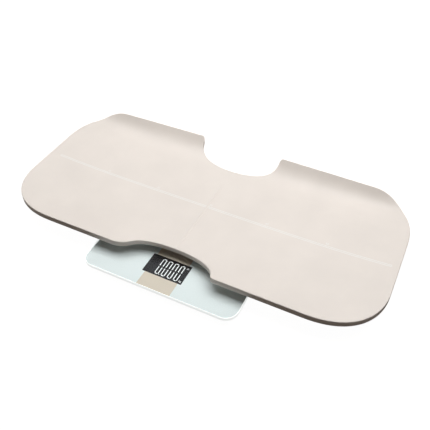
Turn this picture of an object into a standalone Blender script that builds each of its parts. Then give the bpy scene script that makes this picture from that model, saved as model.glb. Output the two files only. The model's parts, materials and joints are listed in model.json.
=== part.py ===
"""Digital bathroom scale: a glass weighing platform on four sensing feet, with a lift-off weighing tray.

Frame: metres, +Z up, +X to the right, the display at the front (-Y).
The origin is on the floor, under the middle of the whole object.
"""
import math

import bmesh
import bpy
from mathutils import Matrix, Vector

MM = 0.001
GAP = 0.3 * MM                      # clearance between pieces that touch

# --- driving dimensions: glass platform --------------------------------------------------------
GLASS_SIZE = 260 * MM
GLASS_THICKNESS = 6 * MM
GLASS_CORNER = 21 * MM
GLASS_BOTTOM = 16 * MM
GLASS_TOP = GLASS_BOTTOM + GLASS_THICKNESS
GLASS_Y = -29 * MM                  # middle of the glass

# --- driving dimensions: weighing tray ---------------------------------------------------------
TRAY_LENGTH = 632 * MM
TRAY_DEPTH = 278 * MM
TRAY_Y = 20 * MM                    # middle of the tray
TRAY_EDGE_Z = 46.3 * MM             # top of the tray along its front edge
FRONT_CORNER = (103 * MM, 91 * MM, 2.3)     # half axes and power of the front corners' rounding
REAR_CORNER = (81 * MM, 95 * MM, 2.6)
DISH_DEPTH = 8.2 * MM
DISH_POWER_X = 4.0
DISH_POWER_Y = 3.0
LIP_HEIGHT = 20.8 * MM              # raised rear edge, beside the cut-out
LIP_WIDTH = 46 * MM
LIP_POWER = 3.0
LIP_EVEN = 80 * MM                  # half length of the lip's even middle
LIP_FADE_POWER = 1.2
LIP_NARROWING = 0.4                # share of its width that the lip loses by the tray's ends
LIP_LOWERING = 0.15                 # share of its height
PANEL = 3.0 * MM
SKIRT_WALL = 2.6 * MM
SKIRT = 10.4 * MM
FOOT_SINKING = 0.5                  # share of the dish that the skirt's foot follows
RIB_DEPTH = 9.0 * MM
MIDDLE_RIB_DEPTH = 8.4 * MM
RIB_WALL = 2.0 * MM
CROSS_RIBS_X = (148 * MM, 206 * MM)
END_RIB_X = 262 * MM
END_RIB_MARGIN = 14 * MM            # the end ribs stop short of the front and rear edges
MIDDLE_RIB_STEPS = 8
RIB_STAGGER = 0.8 * MM              # the ribs bend this far behind the panel's rows

NOTCH_FRONT = (73 * MM, 30.6 * MM, 2.25)    # half width, depth, power
NOTCH_REAR = (73.4 * MM, 41.4 * MM, 2.15)
SHOULDER_FRONT_LEFT = 36 * MM
SHOULDER_FRONT_RIGHT = 6 * MM
SHOULDER_REAR = 5 * MM
GROOVE_WIDTH = 1.0 * MM
GROOVE_DEPTH = 0.6 * MM
GROOVE_REAR_Y = TRAY_Y + 56 * MM

# --- driving dimensions: feet ------------------------------------------------------------------
FOOT_REACH = 95 * MM                # foot centres from the middle of the glass, along X and Y
HOUSING_RADIUS = 27 * MM
HOUSING_WALL = 2.2 * MM
HOUSING_LOW = 4.2 * MM
CELL_SIZE = 34 * MM
CELL_LOW = 8.7 * MM
CELL_THICKNESS = 1.6 * MM
TONGUE_HALF = 7.5 * MM              # half width of a load cell's bending tongue
TONGUE_REACH = 10 * MM
TONGUE_SLOT = 2 * MM
SEAT_Y = 14.8 * MM                  # the cell's frame rests on two seats beside its tongue
SEAT_HALF = (16 * MM, 1.8 * MM)
CABLE_Z = 12.1 * MM
CABLE_RADIUS = 1.2 * MM

# --- driving dimensions: display module --------------------------------------------------------
WINDOW = (68.5 * MM, 38 * MM)
WINDOW_Y = -111.2 * MM
MODULE_HALF_X = 50 * MM
MODULE_FRONT = -139.2 * MM
MODULE_REAR = -53.2 * MM
MODULE_LOW = 3.5 * MM
MODULE_HIGH = GLASS_BOTTOM - GAP
MODULE_WALL = 2.0 * MM
MODULE_FLOOR = 1.5 * MM
BOARD_CAVITY_REAR = -86 * MM
BOARD_LOW = 9.0 * MM
BOARD_THICKNESS = 1.2 * MM
BOARD_HOLE = 1.6 * MM               # radius of its screw holes
LCD_LOW = 13.4 * MM
LCD_THICKNESS = 2.0 * MM
BAY_HALF_X = 23 * MM
BAY_FRONT = -83 * MM
BAY_REAR = -58.5 * MM
BAY_HIGH = 9.5 * MM
DOOR_FRONT = -84.5 * MM
DOOR_HALF_X = 26.5 * MM
DOOR_TONGUE = 2.0 * MM
BUTTON_PLACE = (-28 * MM, -112 * MM)
BUTTON_RADIUS = 4.0 * MM

# --- driving dimensions: tray underframe -------------------------------------------------------
FRAME_Y = 5 * MM
FRAME_OUTER = (250 * MM, 168 * MM)
FRAME_BAND = 25 * MM
FRAME_LOW = 24.8 * MM
FRAME_THICKNESS = 6.0 * MM
SCREW_SIDE_X = 112.5 * MM           # screws in the middle of the ring's short sides
SCREW_END = (55 * MM, 71.5 * MM)    # and along its long sides
TAB_ACROSS = 24 * MM                # locating tabs beside the glass
TAB_SIDE_Y = 40 * MM
TAB_REAR_ACROSS = 28 * MM
TAB_REAR_X = 70 * MM
PAD_PLACE = (108 * MM, 70 * MM)
PAD_RADIUS = 9 * MM
PAD_THICKNESS = FRAME_LOW - GLASS_TOP - 2 * GAP
HEAD_SINK = 3 * MM                  # how deep a screw's head sits in the ring
SCREW_WAY = 1.9 * MM                # radius of the hole round a tray screw
GUIDE_CLEARANCE = 0.6 * MM          # between a locating tab and the edge of the glass
GUIDE_WALL = 3.0 * MM
GUIDE_LOW = 17 * MM

SMOOTH_ANGLE = math.radians(35)
TRAY_COLUMNS = 16                   # faces along and across the tray
TRAY_ROWS = 24
ROW_CROWDING = 0.55                 # how far the rows crowd towards the rear lip


# --- scene and collections ---------------------------------------------------------------------
def clear_scene():
    for item in list(bpy.data.objects):
        bpy.data.objects.remove(item, do_unlink=True)


def new_collection(name):
    collection = bpy.data.collections.new(name)
    bpy.context.scene.collection.children.link(collection)
    return collection


clear_scene()
PARTS = new_collection("bathroom_scale")
CUTTERS = new_collection("cutters")


def material(name, colour, roughness, metallic=0.0):
    made = bpy.data.materials.new(name)
    made.use_nodes = True
    shader = made.node_tree.nodes["Principled BSDF"]
    shader.inputs["Base Color"].default_value = (*colour, 1.0)
    shader.inputs["Roughness"].default_value = roughness
    shader.inputs["Metallic"].default_value = metallic
    return made


GLASS = material("tempered_glass", (0.78, 0.88, 0.88), 0.05)
TRAY_PLASTIC = material("tray_plastic", (0.82, 0.75, 0.70), 0.45)
FRAME_PLASTIC = material("underframe_plastic", (0.70, 0.66, 0.62), 0.55)
CASE_PLASTIC = material("case_plastic", (0.78, 0.78, 0.77), 0.5)
FOOT_PLASTIC = material("foot_plastic", (0.80, 0.80, 0.79), 0.5)
RUBBER = material("rubber", (0.16, 0.16, 0.16), 0.85)
SPRING_STEEL = material("spring_steel", (0.62, 0.62, 0.60), 0.3, 1.0)
SCREW_STEEL = material("screw_steel", (0.55, 0.55, 0.55), 0.3, 1.0)
CABLE_JACKET = material("cable_jacket", (0.08, 0.08, 0.08), 0.6)
LCD_GLASS = material("lcd_glass", (0.02, 0.02, 0.025), 0.1)
LIGHT_GUIDE = material("light_guide", (0.9, 0.9, 0.88), 0.3)
BOARD_GREEN = material("board_green", (0.03, 0.22, 0.09), 0.4)
CHIP_BLACK = material("chip_black", (0.02, 0.02, 0.02), 0.5)
ELASTOMER = material("elastomer", (0.75, 0.45, 0.42), 0.7)
CELL_STEEL = material("cell_steel", (0.75, 0.75, 0.74), 0.2, 1.0)
BUTTON_PLASTIC = material("button_plastic", (0.25, 0.30, 0.34), 0.5)


# --- making objects ----------------------------------------------------------------------------
def place(mesh, name, surface, at=(0, 0, 0), smooth=True):
    """Put a mesh in the model as a finished piece of one material."""
    mesh.name = name
    mesh.materials.clear()
    mesh.materials.append(surface)
    made = bpy.data.objects.new(name, mesh)
    made.location = at
    PARTS.objects.link(made)
    if smooth:
        mesh.shade_smooth()
        mesh.set_sharp_from_angle(angle=SMOOTH_ANGLE)
    return made


def tool(mesh, name, at=(0, 0, 0)):
    """Put a mesh among the cutters, hidden from the model."""
    mesh.name = name
    made = bpy.data.objects.new(name, mesh)
    made.location = at
    made.hide_render = True
    made.display_type = "WIRE"
    CUTTERS.objects.link(made)
    return made


def boolean(piece, other, operation):
    step = piece.modifiers.new(operation.lower(), "BOOLEAN")
    step.operation = operation
    step.solver = "EXACT"
    step.object = other


def cut(piece, other):
    boolean(piece, other, "DIFFERENCE")


def fuse_all(piece, name, others):
    """Join several pieces of one moulding at once: they may cross each other."""
    group = bpy.data.collections.new(name)
    CUTTERS.children.link(group)
    for other in others:
        group.objects.link(other)
        CUTTERS.objects.unlink(other)
    step = piece.modifiers.new(name, "BOOLEAN")
    step.operation = "UNION"
    step.solver = "EXACT"
    step.operand_type = "COLLECTION"
    step.collection = group


def fuse(piece, other):
    boolean(piece, other, "UNION")


def bevel(piece, width, segments=2):
    step = piece.modifiers.new("bevel", "BEVEL")
    step.width = width
    step.segments = segments
    step.limit_method = "ANGLE"
    step.angle_limit = math.radians(40)


def box_mesh(low, high):
    """A box between two corners."""
    mesh = bpy.data.meshes.new("box")
    form = bmesh.new()
    bmesh.ops.create_cube(form, size=1.0)
    size = [b - a for a, b in zip(low, high)]
    middle = [(a + b) / 2 for a, b in zip(low, high)]
    bmesh.ops.scale(form, vec=size, verts=form.verts)
    bmesh.ops.translate(form, vec=middle, verts=form.verts)
    form.to_mesh(mesh)
    form.free()
    return mesh


def rod_mesh(radius, low, high, sides=24, axis="Z"):
    """A cylinder along an axis, from low to high on it."""
    mesh = bpy.data.meshes.new("rod")
    form = bmesh.new()
    bmesh.ops.create_cone(form, cap_ends=True, segments=sides, radius1=radius, radius2=radius,
                          depth=high - low)
    bmesh.ops.translate(form, vec=(0, 0, (low + high) / 2), verts=form.verts)
    if axis == "X":
        bmesh.ops.rotate(form, matrix=Matrix.Rotation(math.pi / 2, 3, "Y"), verts=form.verts)
    if axis == "Y":
        bmesh.ops.rotate(form, matrix=Matrix.Rotation(-math.pi / 2, 3, "X"), verts=form.verts)
    form.to_mesh(mesh)
    form.free()
    return mesh


def turned_mesh(profile):
    """An open profile of (radius, height) points, for a Screw modifier about Z."""
    mesh = bpy.data.meshes.new("profile")
    points = [(radius, 0, height) for radius, height in profile]
    edges = [(index, index + 1) for index in range(len(points) - 1)]
    mesh.from_pydata(points, edges, [])
    return mesh


def turned(profile, name, surface, at=(0, 0, 0), steps=32):
    """A turned piece: the profile starts on the axis at the top and runs down the outer side."""
    made = place(turned_mesh(profile), name, surface, at, smooth=False)
    screw = made.modifiers.new("turn", "SCREW")
    screw.axis = "Z"
    screw.steps = steps
    screw.render_steps = steps
    screw.use_merge_vertices = True
    screw.merge_threshold = 0.00001
    screw.use_smooth_shade = True
    return made


def mesh_from_curve(curve):
    """The closed mesh that a curve datablock makes."""
    guide = bpy.data.objects.new("guide", curve)
    CUTTERS.objects.link(guide)
    graph = bpy.context.evaluated_depsgraph_get()
    graph.update()
    mesh = bpy.data.meshes.new_from_object(guide.evaluated_get(graph))
    bpy.data.objects.remove(guide, do_unlink=True)
    form = bmesh.new()
    form.from_mesh(mesh)
    bmesh.ops.remove_doubles(form, verts=form.verts, dist=0.000001)
    form.to_mesh(mesh)
    form.free()
    return mesh


def prism_mesh(outline, low, high):
    """A flat outline of (x, y) points, thick from low to high."""
    curve = bpy.data.curves.new("outline", "CURVE")
    curve.dimensions = "2D"
    curve.fill_mode = "BOTH"
    curve.extrude = (high - low) / 2
    spline = curve.splines.new("POLY")
    spline.points.add(len(outline) - 1)
    for point, (x, y) in zip(spline.points, outline):
        point.co = (x, y, 0, 1)
    spline.use_cyclic_u = True
    mesh = mesh_from_curve(curve)
    mesh.transform(Matrix.Translation((0, 0, (low + high) / 2)))
    return mesh


def rounded_rectangle(half_x, half_y, radius, middle=(0, 0), steps=6):
    """Counter-clockwise outline of a rectangle with round corners."""
    outline = []
    for corner, (side_x, side_y) in enumerate([(1, 1), (-1, 1), (-1, -1), (1, -1)]):
        centre_x = middle[0] + side_x * (half_x - radius)
        centre_y = middle[1] + side_y * (half_y - radius)
        for step in range(steps + 1):
            angle = (corner + step / steps) * math.pi / 2
            outline.append((centre_x + radius * math.cos(angle), centre_y + radius * math.sin(angle)))
    return outline


# --- glass platform ----------------------------------------------------------------------------
def make_glass():
    outline = rounded_rectangle(GLASS_SIZE / 2, GLASS_SIZE / 2, GLASS_CORNER, (0, GLASS_Y), steps=8)
    glass = place(prism_mesh(outline, GLASS_BOTTOM, GLASS_TOP), "glass_platform", GLASS)
    bevel(glass, 0.8 * MM)


# --- feet --------------------------------------------------------------------------------------
def foot_places():
    """Each foot's sides along X and Y, and its place."""
    places = []
    for side_y in (-1, 1):
        for side_x in (-1, 1):
            places.append((side_x, side_y, (side_x * FOOT_REACH, GLASS_Y + side_y * FOOT_REACH, 0)))
    return places


def make_housing(name, at, side_x, side_y):
    """Cup bonded under the glass, open below, with two seats for the load cell's frame."""
    inner = HOUSING_RADIUS - HOUSING_WALL
    roof = MODULE_HIGH - 2.0 * MM
    profile = [(0, MODULE_HIGH), (HOUSING_RADIUS - 1 * MM, MODULE_HIGH),
               (HOUSING_RADIUS, MODULE_HIGH - 1 * MM), (HOUSING_RADIUS, HOUSING_LOW),
               (inner, HOUSING_LOW), (inner, roof), (0, roof)]
    housing = turned(profile, name, FOOT_PLASTIC, at, steps=28)
    seat_low = CELL_LOW + CELL_THICKNESS + GAP
    for side in (-1, 1):
        low = (-SEAT_HALF[0], side * SEAT_Y - SEAT_HALF[1], seat_low)
        high = (SEAT_HALF[0], side * SEAT_Y + SEAT_HALF[1], roof + 0.5 * MM)
        fuse(housing, tool(box_mesh(low, high), name + "_seat", at))
    hole = rod_mesh(CABLE_RADIUS + GAP, 15 * MM, HOUSING_RADIUS + 3 * MM, sides=12, axis="X")
    exit_hole = tool(hole, name + "_exit", (at[0], at[1], CABLE_Z))
    exit_hole.rotation_euler = (0, 0, cable_exit_angle(side_x, side_y))
    cut(housing, exit_hole)


def cable_exit_angle(side_x, side_y):
    """Front feet send their cable towards the middle, rear feet towards the front."""
    if side_y > 0:
        return -math.pi / 2
    return math.pi if side_x > 0 else 0.0


def make_load_cell(name, at):
    """Steel plate whose middle tongue bends against its outer frame."""
    high = CELL_LOW + CELL_THICKNESS
    outline = rounded_rectangle(CELL_SIZE / 2, CELL_SIZE / 2, 3 * MM, steps=4)
    cell = place(prism_mesh(outline, CELL_LOW, high), name, SPRING_STEEL, at)
    outer, inner = TONGUE_HALF + TONGUE_SLOT, TONGUE_HALF
    slot = [(-outer, -TONGUE_REACH - TONGUE_SLOT), (outer, -TONGUE_REACH - TONGUE_SLOT),
            (outer, TONGUE_REACH), (inner, TONGUE_REACH), (inner, -TONGUE_REACH),
            (-inner, -TONGUE_REACH), (-inner, TONGUE_REACH), (-outer, TONGUE_REACH)]
    cut(cell, tool(prism_mesh(slot, CELL_LOW - 1 * MM, high + 1 * MM), name + "_slot", at))


def make_feet():
    cap_profile = [(0, 8.4 * MM), (4 * MM, 8.4 * MM), (4 * MM, 5.2 * MM), (22.5 * MM, 5.2 * MM),
                   (23.5 * MM, 4.2 * MM), (23.5 * MM, 2.4 * MM), (0, 2.4 * MM)]
    sole_profile = [(0, 2.1 * MM), (20.4 * MM, 2.1 * MM), (21 * MM, 1.5 * MM), (21 * MM, 0.6 * MM),
                    (20.4 * MM, 0), (0, 0)]
    for number, (side_x, side_y, at) in enumerate(foot_places(), start=1):
        make_housing(f"foot_housing_{number}", at, side_x, side_y)
        make_load_cell(f"load_cell_{number}", at)
        turned(cap_profile, f"foot_cap_{number}", FOOT_PLASTIC, at, steps=20)
        turned(sole_profile, f"foot_sole_{number}", RUBBER, at, steps=24)


# --- sensor cables -----------------------------------------------------------------------------
def smooth_path(knots, spacing):
    """Points along a Catmull-Rom curve through the knots, about evenly spaced."""
    points = [Vector(knot) for knot in knots]
    ends = [points[0] * 2 - points[1]] + points + [points[-1] * 2 - points[-2]]
    path = []
    for index in range(1, len(ends) - 2):
        before, start, end, after = ends[index - 1:index + 3]
        steps = max(2, round((end - start).length / spacing))
        for step in range(steps):
            t = step / steps
            path.append(0.5 * (2 * start + (end - before) * t
                               + (2 * before - 5 * start + 4 * end - after) * t * t
                               + (3 * start - before - 3 * end + after) * t * t * t))
    path.append(points[-1])
    return path


def cable_route(side_x, side_y):
    """Route under the glass, from inside a foot to inside the display module."""
    if side_y < 0:
        knots = [(78, -124), (66, -124.3), (58, -122.6), (50, -121), (43, -121)]
    else:
        knots = [(95, 48), (94.5, 28), (88, 2), (77, -28), (65, -54), (54, -65.4), (43, -66)]
    return [(side_x * x * MM, y * MM, CABLE_Z) for x, y in knots]


def make_cables():
    for number, (side_x, side_y, _) in enumerate(foot_places(), start=1):
        path = smooth_path(cable_route(side_x, side_y), 6 * MM)
        curve = bpy.data.curves.new(f"sensor_cable_{number}", "CURVE")
        curve.dimensions = "3D"
        curve.bevel_depth = CABLE_RADIUS
        curve.bevel_resolution = 2
        curve.use_fill_caps = True
        spline = curve.splines.new("POLY")
        spline.points.add(len(path) - 1)
        for point, place_on_path in zip(spline.points, path):
            point.co = (*place_on_path, 1)
        place(mesh_from_curve(curve), f"sensor_cable_{number}", CABLE_JACKET)


def make_cable_clips():
    """Bonded saddles that hold the two rear cables up under the glass."""
    for number, side_x in enumerate((-1, 1), start=1):
        at = (side_x * 88 * MM, 2 * MM, 0)
        low = (-5 * MM, -4 * MM, CABLE_Z - CABLE_RADIUS - 1.5 * MM)
        high = (5 * MM, 4 * MM, MODULE_HIGH)
        clip = place(box_mesh(low, high), f"cable_clip_{number}", FOOT_PLASTIC, at, smooth=False)
        bore = tool(rod_mesh(CABLE_RADIUS + 0.5 * MM, -12 * MM, 12 * MM, sides=16, axis="Y"),
                    f"cable_clip_{number}_bore", (at[0], at[1], CABLE_Z))
        bore.rotation_euler = (0, 0, -side_x * math.radians(18))
        cut(clip, bore)


# --- display module ----------------------------------------------------------------------------
BOARD_POSTS = [(side * 40 * MM, y) for y in (-131 * MM, -92 * MM) for side in (-1, 1)]


def make_case():
    """Moulded case bonded under the glass: board cavity in front, battery bay behind it."""
    middle_y = (MODULE_FRONT + MODULE_REAR) / 2
    half_y = (MODULE_REAR - MODULE_FRONT) / 2
    outline = rounded_rectangle(MODULE_HALF_X, half_y, 6 * MM, (0, middle_y))
    case = place(prism_mesh(outline, MODULE_LOW, MODULE_HIGH), "display_case", CASE_PLASTIC)
    floor = MODULE_LOW + MODULE_FLOOR
    above = MODULE_HIGH + 1 * MM
    below = MODULE_LOW - 1 * MM
    inside = MODULE_HALF_X - MODULE_WALL
    behind = MODULE_REAR - MODULE_WALL
    bay_roof = BAY_HIGH + 1.3 * MM
    groove_reach = DOOR_HALF_X + DOOR_TONGUE
    side_pocket = groove_reach + 2.5 * MM
    overlap = BOARD_CAVITY_REAR - 1 * MM
    past = MODULE_REAR + 1 * MM
    hollows = [
        ("board_cavity", (-inside, MODULE_FRONT + MODULE_WALL, floor), (inside, BOARD_CAVITY_REAR, above)),
        ("wire_space", (-inside, overlap, bay_roof), (inside, behind, above)),
        ("left_pocket", (-inside, overlap, floor), (-side_pocket, behind, above)),
        ("right_pocket", (side_pocket, overlap, floor), (inside, behind, above)),
        ("battery_bay", (-BAY_HALF_X, BAY_FRONT, below), (BAY_HALF_X, BAY_REAR, BAY_HIGH)),
        ("door_opening", (-DOOR_HALF_X, DOOR_FRONT, below), (DOOR_HALF_X, past, 4.6 * MM)),
        ("door_groove", (-groove_reach, DOOR_FRONT, 4.2 * MM), (groove_reach, past, 5.3 * MM)),
    ]
    for name, low, high in hollows:
        cut(case, tool(box_mesh(low, high), name))
    for index, (x, y) in enumerate(BOARD_POSTS):
        post = rod_mesh(3 * MM, floor - 0.5 * MM, BOARD_LOW - GAP, 16)
        fuse(case, tool(post, f"post_{index}", (x, y, 0)))
        pilot = rod_mesh(BOARD_HOLE, 5.8 * MM, BOARD_LOW, 12)
        cut(case, tool(pilot, f"pilot_{index}", (x, y, 0)))
    button_hole = rod_mesh(BUTTON_RADIUS + GAP, below, floor + 1 * MM, 24)
    cut(case, tool(button_hole, "button_hole", (*BUTTON_PLACE, 0)))
    for number, (side_x, side_y, _) in enumerate(foot_places(), start=1):
        end = cable_route(side_x, side_y)[-1]
        entry = rod_mesh(CABLE_RADIUS + 1.0 * MM, -4 * MM, 12 * MM, 12, axis="X")
        hole = tool(entry, f"cable_entry_{number}", end)
        hole.rotation_euler = (0, 0, 0 if side_x > 0 else math.pi)
        cut(case, hole)


def make_display():
    half_x, half_y = WINDOW[0] / 2 + 1.5 * MM, WINDOW[1] / 2 + 1.5 * MM
    low = (-half_x, WINDOW_Y - half_y, LCD_LOW)
    high = (half_x, WINDOW_Y + half_y, LCD_LOW + LCD_THICKNESS)
    place(box_mesh(low, high), "lcd_panel", LCD_GLASS, smooth=False)
    low = (-half_x, WINDOW_Y - half_y + 4 * MM, 11.9 * MM)
    high = (half_x, WINDOW_Y + half_y, LCD_LOW - GAP)
    place(box_mesh(low, high), "backlight_panel", LIGHT_GUIDE, smooth=False)
    strip_low = (-29 * MM, WINDOW_Y - half_y + 0.8 * MM, BOARD_LOW + BOARD_THICKNESS + GAP)
    strip_high = (29 * MM, WINDOW_Y - half_y + 3.0 * MM, LCD_LOW - GAP)
    place(box_mesh(strip_low, strip_high), "zebra_strip", ELASTOMER, smooth=False)


def make_board():
    """Circuit board on four posts, with its chip and its switch on the underside."""
    outline = rounded_rectangle(44.5 * MM, 24 * MM, 2 * MM, (0, -111.8 * MM), steps=3)
    high = BOARD_LOW + BOARD_THICKNESS
    board = place(prism_mesh(outline, BOARD_LOW, high), "circuit_board", BOARD_GREEN, smooth=False)
    for index, (x, y) in enumerate(BOARD_POSTS):
        hole = rod_mesh(BOARD_HOLE, BOARD_LOW - 1 * MM, high + 1 * MM, 16)
        cut(board, tool(hole, f"hole_{index}", (x, y, 0)))
    under = BOARD_LOW - GAP
    chip_profile = [(0, under), (5 * MM, under), (4.6 * MM, under - 0.6 * MM),
                    (3 * MM, under - 1.1 * MM), (0, under - 1.3 * MM)]
    turned(chip_profile, "controller_chip", CHIP_BLACK, (14 * MM, -112 * MM, 0), steps=24)
    switch = place(box_mesh((-3 * MM, -3 * MM, 7.4 * MM), (3 * MM, 3 * MM, under)), "unit_switch",
                   CHIP_BLACK, (*BUTTON_PLACE, 0), smooth=False)
    fuse(switch, tool(rod_mesh(1.7 * MM, 6.8 * MM, 7.6 * MM, 16), "switch_plunger", (*BUTTON_PLACE, 0)))


def make_unit_button():
    """Button in the case's floor, set back a little, with a collar that keeps it in."""
    profile = [(0, 5.9 * MM), (5.6 * MM, 5.9 * MM), (5.6 * MM, 5.3 * MM), (BUTTON_RADIUS, 5.3 * MM),
               (BUTTON_RADIUS, 4.1 * MM), (BUTTON_RADIUS - 0.3 * MM, 3.8 * MM), (0, 3.8 * MM)]
    turned(profile, "unit_button", BUTTON_PLASTIC, (*BUTTON_PLACE, 0), steps=24)


def make_battery_parts():
    for number, side in enumerate((-1, 1), start=1):
        profile = [(0, 8.5 * MM), (8.6 * MM, 8.5 * MM), (8.8 * MM, 8.3 * MM), (9.6 * MM, 8.3 * MM),
                   (10 * MM, 7.9 * MM), (10 * MM, 5.5 * MM), (9.8 * MM, 5.3 * MM), (0, 5.3 * MM)]
        middle_y = (BAY_FRONT + BAY_REAR) / 2
        turned(profile, f"coin_cell_{number}", CELL_STEEL, (side * 11 * MM, middle_y, 0), steps=24)
        low = (side * 11 * MM - 4 * MM, BAY_FRONT + GAP, 8.8 * MM)
        high = (side * 11 * MM + 4 * MM, BAY_REAR - 4 * MM, BAY_HIGH - GAP)
        place(box_mesh(low, high), f"battery_contact_{number}", SPRING_STEEL, smooth=False)


def make_battery_door():
    """Sliding door: a flat plate with a thin tongue along each side, and three grip grooves."""
    low = (-DOOR_HALF_X + GAP, DOOR_FRONT + GAP, MODULE_LOW)
    high = (DOOR_HALF_X - GAP, MODULE_REAR - GAP, 4.9 * MM)
    door = place(box_mesh(low, high), "battery_door", CASE_PLASTIC, smooth=False)
    reach = DOOR_HALF_X + DOOR_TONGUE - GAP
    tongue = box_mesh((-reach, low[1], 4.5 * MM), (reach, high[1], 4.9 * MM))
    fuse(door, tool(tongue, "door_tongues"))
    for index in range(3):
        y = MODULE_REAR - (6 + 3 * index) * MM
        groove = box_mesh((-9 * MM, y, MODULE_LOW - 1 * MM), (9 * MM, y + 1.4 * MM, MODULE_LOW + 0.5 * MM))
        cut(door, tool(groove, f"door_grip_{index}"))


def screw_profile(head_radius, head_low, head_high, shank_radius, tip):
    """Pan head below, shank pointing up to the tip."""
    return [(0, tip), (shank_radius * 0.5, tip - 0.3 * MM), (shank_radius, tip - 1.2 * MM),
            (shank_radius, head_high), (head_radius, head_high), (head_radius, head_low + 0.7 * MM),
            (head_radius * 0.75, head_low), (0, head_low)]


def cross_recess(screw, name, at, depth_low, depth_high):
    """Cross slot in a screw's head."""
    for index in range(2):
        bar = tool(box_mesh((-1.5 * MM, -0.35 * MM, depth_low), (1.5 * MM, 0.35 * MM, depth_high)),
                   f"{name}_slot_{index}", at)
        bar.rotation_euler = (0, 0, index * math.pi / 2)
        cut(screw, bar)


def make_board_screws():
    """Short screws, heads up, that hold the circuit board on its posts."""
    seat = BOARD_LOW + BOARD_THICKNESS + GAP
    profile = [(0, seat + 1.3 * MM), (1.9 * MM, seat + 1.3 * MM), (2.4 * MM, seat + 0.8 * MM),
               (2.4 * MM, seat), (1.25 * MM, seat), (1.25 * MM, 6.8 * MM), (0.4 * MM, 6.1 * MM),
               (0, 6.1 * MM)]
    for number, (x, y) in enumerate(BOARD_POSTS, start=1):
        name = f"board_screw_{number}"
        screw = turned(profile, name, SCREW_STEEL, (x, y, 0), steps=12)
        cross_recess(screw, name, (x, y, 0), seat + 0.6 * MM, seat + 2 * MM)


# --- weighing tray -----------------------------------------------------------------------------
def dish_depth(x, y):
    u = min(abs(x) / (TRAY_LENGTH / 2), 1.0)
    v = min(abs(y - TRAY_Y) / (TRAY_DEPTH / 2), 1.0)
    return DISH_DEPTH * (1 - u ** DISH_POWER_X) * (1 - v ** DISH_POWER_Y)


def tray_height(x, y):
    """Height of the tray's upper surface: a wide shallow dish, and a rear lip that fades to the ends."""
    fade = max(0.0, (abs(x) - LIP_EVEN) / (TRAY_LENGTH / 2 - LIP_EVEN)) ** LIP_FADE_POWER
    width = LIP_WIDTH * (1 - LIP_NARROWING * fade)
    rise = max(0.0, y - (TRAY_Y + TRAY_DEPTH / 2 - width)) / width
    lip = LIP_HEIGHT * (1 - LIP_LOWERING * fade) * rise ** LIP_POWER
    return TRAY_EDGE_Z - dish_depth(x, y) + lip


def foot_height(x, y):
    """Height of the skirt's foot, which sinks less than the dish does."""
    return tray_height(x, y) + (1 - FOOT_SINKING) * dish_depth(x, y) - SKIRT


def corner_points(side_x, side_y, corner, steps=12):
    """A corner's superellipse, from the end of the tray round to its long edge."""
    reach_x, reach_y, power = corner
    points = []
    for step in range(steps + 1):
        angle = step / steps * math.pi / 2
        x = reach_x * math.cos(angle) ** (2 / power)
        y = reach_y * math.sin(angle) ** (2 / power)
        points.append((side_x * (TRAY_LENGTH / 2 - reach_x + x),
                       TRAY_Y + side_y * (TRAY_DEPTH / 2 - reach_y + y)))
    return points


def notch_side(notch, radius, steps=10, round_steps=5):
    """Half of a notch, from its shoulder on the edge line to its deepest point.

    Points are (distance from the middle, depth below the edge line). The shoulder is a circle that
    touches the edge line and the notch's own curve, found by halving the interval.
    """
    half, depth, power = notch

    def on_curve(angle):
        return Vector((half * math.cos(angle) ** (2 / power), depth * math.sin(angle) ** (2 / power)))

    def outward(point):
        return Vector(((point.x / half) ** (power - 1) / half,
                       (point.y / depth) ** (power - 1) / depth)).normalized()

    low, high = 1e-6, math.pi / 2 - 1e-6
    for _ in range(50):
        angle = (low + high) / 2
        point = on_curve(angle)
        if point.y + radius * outward(point).y > radius:
            high = angle
        else:
            low = angle
    touch = on_curve(low)
    centre = touch + radius * outward(touch)
    finish = math.atan2(touch.y - centre.y, touch.x - centre.x)
    if finish > 0:
        finish -= 2 * math.pi
    points = []
    for step in range(round_steps + 1):
        turn = -math.pi / 2 + (finish + math.pi / 2) * step / round_steps
        points.append((centre.x + radius * math.cos(turn), centre.y + radius * math.sin(turn)))
    for step in range(1, steps + 1):
        point = on_curve(low + (math.pi / 2 - low) * step / steps)
        points.append((point.x, point.y))
    return points


def tray_outline():
    """Counter-clockwise plan outline, from the front right corner."""
    front = TRAY_Y - TRAY_DEPTH / 2
    rear = TRAY_Y + TRAY_DEPTH / 2
    outline = corner_points(1, -1, FRONT_CORNER)[::-1]
    outline += corner_points(1, 1, REAR_CORNER)
    side = notch_side(NOTCH_REAR, SHOULDER_REAR)
    outline += [(x, rear - depth) for x, depth in side]
    outline += [(-x, rear - depth) for x, depth in side[-2::-1]]
    outline += corner_points(-1, 1, REAR_CORNER)[::-1]
    outline += corner_points(-1, -1, FRONT_CORNER)
    left = notch_side(NOTCH_FRONT, SHOULDER_FRONT_LEFT)
    outline += [(-x, front + depth) for x, depth in left]
    right = notch_side(NOTCH_FRONT, SHOULDER_FRONT_RIGHT)
    outline += [(x, front + depth) for x, depth in right[-2::-1]]
    return outline


def spread(low, high, count, crowding=0.0):
    """Evenly spaced values strictly between two limits, or values that crowd towards the high one."""
    values = []
    for step in range(1, count):
        share = step / count
        share += crowding * math.sin(math.pi * share) / math.pi
        values.append(low + share * (high - low))
    return values


def inset(outline, distance):
    """The outline moved inwards by a distance, along the normal at each point."""
    moved = []
    for index, point in enumerate(outline):
        before = Vector(outline[index - 1])
        after = Vector(outline[(index + 1) % len(outline)])
        along = (after - before).normalized()
        moved.append((point[0] - along.y * distance, point[1] + along.x * distance))
    return moved


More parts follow.
